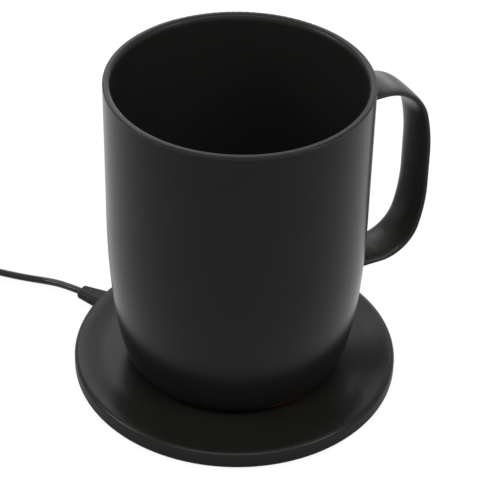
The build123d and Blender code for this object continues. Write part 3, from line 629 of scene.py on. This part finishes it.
coat = sprayed_coat(
    "satin_black_coat",
    dark=(0.0042, 0.0040, 0.0037),
    light=(0.0056, 0.0054, 0.0050),
    roughness=0.24,
    gloss_level=0.110,
)
# Paler copies of the coat: painted light on the handle and inside the cup.
strap_coat_painted_light = sprayed_coat(
    "strap_black_coat_painted_light",
    dark=(0.0130, 0.0126, 0.0118),
    light=(0.0170, 0.0166, 0.0156),
    roughness=0.30,
    gloss_level=0.12,
)
cup_coat_painted_light = sprayed_coat(
    "cup_black_coat_painted_light",
    dark=(0.0088, 0.0086, 0.0081),
    light=(0.0112, 0.0109, 0.0103),
    roughness=0.30,
    gloss_level=0.12,
)
print("coats", coat.name, strap_coat_painted_light.name, cup_coat_painted_light.name)

# %% [markdown]
# ## Moulded plastic and rubber
#
# The coaster is moulded in a satin black plastic with a very fine spark texture. The mug's base
# and the adapter are rougher, and rubber is rougher and greyer still. All are made by one helper:
# a fine grain in the surface and a slow drift in its tone.

# %% Moulded plastics and rubbers
drift_size = 30 * mm
drift_swing = 0.04
moulded_grain_swing = 0.08
usual_gloss = 0.5


def moulded(name, dark, light, roughness, grain_size, depth, gloss_level=usual_gloss):
    """Moulded plastic or rubber: fine grain in the surface and a slow drift in its tone."""
    finish = Finish(name, Specular_IOR_Level=gloss_level)
    drift = finish.noise(drift_size)
    grain = finish.noise(grain_size)
    finish.set("Base Color", finish.mix(drift, dark, light))
    wander = swing(grain, moulded_grain_swing)
    finish.set("Roughness", roughness + wander + swing(drift, drift_swing))
    finish.bump(grain, depth, strength=0.5)
    return finish.material


print("moulding helper ready")

# %% Plastics of the coaster, the mug's base and the adapter
coaster_black = moulded(
    "satin_coaster_black",
    dark=(0.0064, 0.0063, 0.0058),
    light=(0.0082, 0.0080, 0.0074),
    roughness=0.27,
    grain_size=0.35 * mm,
    depth=0.0005 * mm,
    gloss_level=0.115,
)
base_black = moulded(
    "fine_matt_black",
    dark=(0.010, 0.0098, 0.0095),
    light=(0.014, 0.0138, 0.0132),
    roughness=0.55,
    grain_size=0.30 * mm,
    depth=0.008 * mm,
    gloss_level=0.30,
)
adapter_black = moulded(
    "adapter_matt_black",
    dark=(0.012, 0.012, 0.0122),
    light=(0.016, 0.016, 0.0163),
    roughness=0.50,
    grain_size=0.45 * mm,
    depth=0.015 * mm,
    gloss_level=0.25,
)
print("plastics", coaster_black.name, base_black.name, adapter_black.name)

# %% Rubber, chips, nylon and wire covers
rubber_black = moulded(
    "matt_rubber",
    dark=(0.018, 0.0178, 0.0175),
    light=(0.026, 0.0258, 0.025),
    roughness=0.72,
    grain_size=0.8 * mm,
    depth=0.02 * mm,
)
chip_black = moulded(
    "moulded_chip",
    dark=(0.02, 0.02, 0.021),
    light=(0.03, 0.03, 0.031),
    roughness=0.6,
    grain_size=0.2 * mm,
    depth=0.01 * mm,
)
inner_nylon = moulded(
    "natural_nylon",
    dark=(0.50, 0.50, 0.46),
    light=(0.58, 0.57, 0.53),
    roughness=0.5,
    grain_size=0.6 * mm,
    depth=0.02 * mm,
)
wire_red = moulded(
    "red_silicone",
    dark=(0.30, 0.02, 0.02),
    light=(0.38, 0.04, 0.03),
    roughness=0.5,
    grain_size=0.3 * mm,
    depth=0.01 * mm,
)
print("others", rubber_black.name, chip_black.name, inner_nylon.name, wire_red.name)

# %% [markdown]
# ## The cord's cover
#
# The cover is a satin black skin over the wires. It is smoother than the moulded pieces and has a
# faint fine grain. Its noise is drawn out upwards, so the grain changes slowly from the cord's top
# to the table. The strain relief is moulded, so it is duller than the cord.

# %% Cover of the cord
cover_gloss = 0.21
cover_dark = (0.0065, 0.0064, 0.0060)
cover_light = (0.0090, 0.0088, 0.0083)
cover_drift_size = 9 * mm
cover_grain_size = 0.4 * mm
cover_grain_stretch = (1.0, 1.0, 0.25)
cover_roughness = 0.20
cover_grain_swing = 0.05
cover_grain_depth = 0.002 * mm


def cord_cover():
    """Satin black cover with a faint fine grain."""
    finish = Finish("cord_cover_black", Specular_IOR_Level=cover_gloss)
    drift = finish.noise(cover_drift_size)
    grain = finish.noise(cover_grain_size, stretch=cover_grain_stretch)
    finish.set("Base Color", finish.mix(drift, cover_dark, cover_light))
    finish.set("Roughness", cover_roughness + grain * cover_grain_swing)
    finish.bump(grain, cover_grain_depth, strength=0.4)
    return finish.material


cord_black = cord_cover()
boot_black = moulded(
    "boot_black",
    dark=(0.0075, 0.0073, 0.0070),
    light=(0.0100, 0.0098, 0.0093),
    roughness=0.45,
    grain_size=0.4 * mm,
    depth=0.002 * mm,
    gloss_level=0.10,
)
print("covers", cord_black.name, boot_black.name)

# %% [markdown]
# ## The light under the front edge
#
# A thin curved window in the underside of the mug glows a dim red. The window is a clear bar that
# is tinted dark, with three small lights behind it, so the glow is strongest in the middle and
# fades to the ends. The fade comes from the window's own place on the mug, measured sideways from
# the front.

# %% Glowing window
window_low, window_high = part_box("led_window")
window_half = (window_high.x - window_low.x) / 2
window_dark = (0.030, 0.004, 0.003)
window_light = (0.045, 0.006, 0.004)
window_grain_size = 0.5 * mm
window_roughness = 0.30
window_grain_swing = 0.1
glow_at_ends = (0.002, 0.0, 0.0)
glow_in_middle = (0.010, 0.0006, 0.0004)


def glowing_window():
    """Dark red window with a glow that fades towards its ends."""
    finish = Finish("dark_red_window", Specular_IOR_Level=0.4, Emission_Strength=1.0)
    split = finish.add("ShaderNodeSeparateXYZ", sockets={"Vector": finish.place()}, out="X")
    aside = finish.add("ShaderNodeMath", {"operation": "ABSOLUTE"}, {0: split / window_half})
    fade = 1 - aside**2
    grain = finish.noise(window_grain_size)
    finish.set("Base Color", finish.mix(grain, window_dark, window_light))
    finish.set("Roughness", window_roughness + grain * window_grain_swing)
    finish.set("Emission Color", finish.mix(fade, glow_at_ends, glow_in_middle))
    return finish.material


window_red = glowing_window()
print("window in mm", in_mm(window_high - window_low))

# %% [markdown]
# ## Metals, boards and the hidden parts
#
# Turned and drawn metals keep fine marks from their making, so a stretched noise moves their
# roughness and tilts their surface. Circuit boards are green with a fibre weave that shows faintly
# under the varnish. The cells have a shrink sleeve, the heater is an amber film, and the pad over
# the board is pressed felt.

# %% Metals
mark_size = 0.6 * mm
mark_swing = 0.15
mark_depth = 0.004 * mm


def worked_metal(name, dull, bright, roughness, stretch):
    """Metal with fine marks from working."""
    finish = Finish(name, Metallic=1.0)
    marks = finish.noise(mark_size, detail=4.0, stretch=stretch)
    finish.set("Base Color", finish.mix(marks, dull, bright))
    finish.set("Roughness", roughness + marks * mark_swing)
    finish.bump(marks, mark_depth, strength=0.4)
    return finish.material


gold_plate = worked_metal(
    "gold_plate", (0.78, 0.52, 0.22), (0.90, 0.66, 0.34), roughness=0.20, stretch=(1, 1, 8)
)
screw_steel = worked_metal(
    "bright_steel", (0.52, 0.52, 0.53), (0.68, 0.68, 0.69), roughness=0.26, stretch=(1, 1, 6)
)
bare_aluminium = worked_metal(
    "bare_aluminium", (0.74, 0.74, 0.75), (0.84, 0.84, 0.85), roughness=0.30, stretch=(1, 8, 1)
)
nickel_plate = worked_metal(
    "nickel_plate", (0.58, 0.56, 0.51), (0.72, 0.70, 0.65), roughness=0.22, stretch=(6, 1, 1)
)
print("metals", gold_plate.name, screw_steel.name, bare_aluminium.name, nickel_plate.name)

# %% Circuit boards
board_weave = {"Scale": 700.0, "Distortion": 1.5}
board_dark = (0.010, 0.085, 0.035)
board_light = (0.018, 0.130, 0.055)
board_shade_size = 7 * mm
board_roughness = 0.34
thread_green = (0.040, 0.180, 0.080)
thread_share = 0.25
thread_swing = 0.06
thread_depth = 0.006 * mm


def circuit_board():
    """Green varnish over a woven board, whose threads lie about half a millimetre apart."""
    finish = Finish("green_board")
    bands = {"Vector": finish.place(), **board_weave}
    weave = finish.add("ShaderNodeTexWave", {"wave_type": "BANDS"}, bands)
    shade = finish.noise(board_shade_size)
    tone = finish.mix(shade, board_dark, board_light)
    finish.set("Base Color", finish.mix(weave * thread_share, tone, thread_green))
    finish.set("Roughness", board_roughness + weave * thread_swing)
    finish.bump(weave, thread_depth, strength=0.4)
    return finish.material


board_green = circuit_board()
print("board finish", board_green.name)

# %% Sleeve of the cells
sleeve_dark = (0.030, 0.130, 0.300)
sleeve_light = (0.050, 0.190, 0.400)
sleeve_roughness = 0.22
ripple_size = 3 * mm
ripple_stretch = (0.3, 1.0, 1.0)
ripple_swing = 0.12
ripple_depth = 0.03 * mm


def shrink_sleeve():
    """Glossy blue sleeve over a cell, slightly rippled where it shrank."""
    finish = Finish("blue_sleeve")
    ripple = finish.noise(ripple_size, stretch=ripple_stretch)
    finish.set("Base Color", finish.mix(ripple, sleeve_dark, sleeve_light))
    finish.set("Roughness", sleeve_roughness + ripple * ripple_swing)
    finish.bump(ripple, ripple_depth, strength=0.5)
    return finish.material


cell_blue = shrink_sleeve()
print("cell finish", cell_blue.name)

# %% Heater film
film_tracks = {"Scale": 90.0, "Distortion": 0.6}
film_dark = (0.42, 0.17, 0.020)
film_light = (0.52, 0.23, 0.035)
film_grain_size = 1.2 * mm
film_roughness = 0.28
film_grain_swing = 0.12
track_brown = (0.30, 0.12, 0.03)
track_share = 0.5
track_depth = 0.02 * mm


def amber_film():
    """Thin amber film with faint tracks under it, a few millimetres apart."""
    finish = Finish("amber_film")
    rings = {"Vector": finish.place(), **film_tracks}
    tracks = finish.add("ShaderNodeTexWave", {"wave_type": "RINGS"}, rings)
    grain = finish.noise(film_grain_size)
    tone = finish.mix(grain, film_dark, film_light)
    finish.set("Base Color", finish.mix(tracks * track_share, tone, track_brown))
    finish.set("Roughness", film_roughness + grain * film_grain_swing)
    finish.bump(tracks, track_depth, strength=0.4)
    return finish.material


film_amber = amber_film()
print("film finish", film_amber.name)

# %% Felt pad
felt_dark = (0.62, 0.60, 0.54)
felt_light = (0.80, 0.78, 0.72)
felt_gloss = 0.2
felt_roughness = 0.85
fibre_size = 0.5 * mm
fibre_stretch = (1.0, 3.0, 1.0)
fibre_swing = 0.1
fibre_depth = 0.1 * mm


def pressed_felt():
    """Pale felt with short fibres."""
    finish = Finish("pressed_felt", Specular_IOR_Level=felt_gloss)
    fibres = finish.noise(fibre_size, detail=6.0, roughness=0.7, stretch=fibre_stretch)
    finish.set("Base Color", finish.mix(fibres, felt_dark, felt_light))
    finish.set("Roughness", felt_roughness + fibres * fibre_swing)
    finish.bump(fibres, fibre_depth, strength=0.7)
    return finish.material


felt = pressed_felt()
print("pad finish", felt.name)

# %% [markdown]
# ## Dressing the pieces
#
# The record of the frame names a material slot for each solid, so one table from slot to finish
# dresses them all. The strap, the cord, its strain relief and the tie get theirs by hand. The cord
# and the pieces on it are kept out of reflections, where their small dark shapes would only break
# up the soft light.

# %% Put each finish on its pieces
finishes = {
    "coating": coat,
    # The inner cup's coat is a paler copy with painted light in its colour.
    "liner_coating": cup_coat_painted_light,
    "window": window_red,
    "coaster_plastic": coaster_black,
    "base_plastic": base_black,
    "soft_black": rubber_black,
    "contact_metal": gold_plate,
    "steel": screw_steel,
    "spreader": bare_aluminium,
    "inner_plastic": inner_nylon,
    "board": board_green,
    "chips": chip_black,
    "cell_sleeve": cell_blue,
    "pad": felt,
    "film": film_amber,
    "wire_cover": wire_red,
    "cord_cover": cord_black,
    "adapter_plastic": adapter_black,
    "blade_metal": nickel_plate,
}


def dress(piece, material):
    """Give a whole piece one finish."""
    piece.data.materials.clear()
    piece.data.materials.append(material)


for part in frame["record"]["subparts"]:
    node = nodes[part["node"]]
    if not node.material_slots:
        node.data.materials.append(None)
    for slot in node.material_slots:
        slot.material = finishes[part["material_slot"]]
dress(cord, cord_black)
dress(tie, rubber_black)
# The strap's coat is a paler copy with painted light in its colour.
dress(strap, strap_coat_painted_light)
dress(nodes["cord_boot"], boot_black)
for piece in (cord, tie, *adapter_pieces):
    piece.visible_glossy = False

# %% [markdown]
# ## The studio
#
# The background is pure white, and the mug shows wide, soft reflections: a bright one along each
# side and one from behind that lights the rim and the coaster. Five soft panels give these, one
# at each side and three behind. A long thin strip, high over the front, adds a fine line of light
# along rounded edges.
#
# The floor and the surroundings look white to the camera and in reflections through Light Path,
# while the lamps stay at a level where a colour renders about as it is written. Shade is painted
# into the floor's reflections in two places, behind the mug and close round the coaster, where a
# real floor lies in their shade.

# %% Finish of the floor
floor_paint = (0.9, 0.9, 0.9)
floor_glow = 0.92
shade_centre = (-18 * mm, 66 * mm, 0)
shade_inner = 15 * mm
shade_outer = 62 * mm
shade_level = 0.10
contact_shade_inner = 50 * mm
contact_shade_outer = 62 * mm
contact_shade_level = 0.30


def floor_finish():
    """White to the camera; painted shade in reflections behind the mug and close round the
    coaster.
    """
    finish = Finish("white_floor", Base_Color=floor_paint, Roughness=0.9, Specular_IOR_Level=0.0)
    mirrored = finish.ray("Is Glossy Ray")
    looked_at = finish.ray("Is Camera Ray") * floor_glow
    passed = finish.ray("Is Transmission Ray")
    glowing = finish.larger(finish.larger(mirrored, passed), looked_at)
    from_shade = finish.add(
        "ShaderNodeVectorMath",
        {"operation": "DISTANCE"},
        {0: finish.place(), 1: as_seen(*shade_centre)},
        out="Value",
    )
    from_middle = finish.add(
        "ShaderNodeVectorMath", {"operation": "LENGTH"}, {0: finish.place()}, out="Value"
    )
    # Painted shade in the floor's reflections: behind the mug and close round the coaster.
    bright = finish.ramp(from_shade, shade_inner, shade_outer, shade_level)
    bright = bright * finish.ramp(from_middle, contact_shade_inner, contact_shade_outer, contact_shade_level)
    glow = finish.add("ShaderNodeEmission", sockets={"Color": 1 - mirrored * (1 - bright)})
    lit = Flow(finish, finish.shader.outputs["BSDF"])
    shown = finish.add("ShaderNodeMixShader", sockets={"Fac": glowing, 1: lit, 2: glow})
    finish.fill(finish.tree.nodes["Material Output"].inputs["Surface"], shown)
    finish.material.cycles.emission_sampling = "NONE"
    return finish.material


floor_white = floor_finish()
print("floor finish", floor_white.name)

# %% Lay the floor
floor_half = 2.0
floor_drop = 0.05 * mm


def studio_floor():
    """A wide pale floor just under the coaster's foot."""
    built = bmesh.new()
    corners = [(-floor_half, -floor_half), (floor_half, -floor_half)]
    corners += [(floor_half, floor_half), (-floor_half, floor_half)]
    built.faces.new([built.verts.new((x, y, -floor_drop)) for x, y in corners])
    floor = add_mesh("floor", built)
    dress(floor, floor_white)
    return floor


floor = studio_floor()
print("floor", floor.name, "side in m", 2 * floor_half)

# %% White surroundings
studio_white = (1.0, 1.0, 1.0)
world_level = 0.70


def white_world():
    """Surroundings that look white and shine only a little."""
    world = bpy.data.worlds.new("studio")
    world.use_nodes = True
    world.cycles.sampling_method = "NONE"
    graph = Graph(world.node_tree)
    background = graph.tree.nodes["Background"]
    graph.fill(background.inputs["Color"], studio_white)
    looked_at = graph.larger(graph.ray("Is Camera Ray"), graph.ray("Is Glossy Ray"))
    looked_at = graph.larger(looked_at, graph.ray("Is Transmission Ray"))
    strength = looked_at * (1.0 - world_level) + world_level
    graph.fill(background.inputs["Strength"], strength)
    bpy.context.scene.world = world


white_world()
bpy.context.scene.view_settings.view_transform = "Standard"
print("world level", world_level)

# %% Soft panels and the strip
subject = Vector((0, 0, 55)) * mm

# Each lamp's place as the camera sees it, its width and height in metres, and its brightness.
panels = {
    "left_panel": ((-0.85, -0.07, 0.62), 0.30, 0.50, 9.0),
    "right_panel": ((0.72, -0.33, 0.75), 0.30, 0.50, 7.0),
    "back_panel": ((-0.44, 1.08, 0.90), 0.90, 0.50, 3.5),
    "back_right_panel": ((0.36, 1.08, 0.90), 0.60, 0.50, 1.6),
    "low_back_panel": ((0.24, 1.15, 0.36), 0.32, 0.40, 3.5),
    "top_strip": ((0.0, -0.62, 1.15), 1.30, 0.05, 42.0),
}


def soft_panel(name, place, width, height, brightness):
    """A rectangular lamp that faces the mug, with how bright the panel itself looks."""
    lamp = bpy.data.lights.new(name, "AREA")
    lamp.shape = "RECTANGLE"
    lamp.size = width
    lamp.size_y = height
    lamp.energy = brightness * pi * width * height
    panel = add_object(name, lamp)
    panel.location = place
    panel.rotation_mode = "QUATERNION"
    panel.rotation_quaternion = (subject - place).to_track_quat("-Z", "Y")
    print(name, "power", round(lamp.energy, 1), "W")


for name, (place, width, height, brightness) in panels.items():
    soft_panel(name, as_seen(*place), width, height, brightness)

# %% Update the scene
bpy.context.view_layer.update()
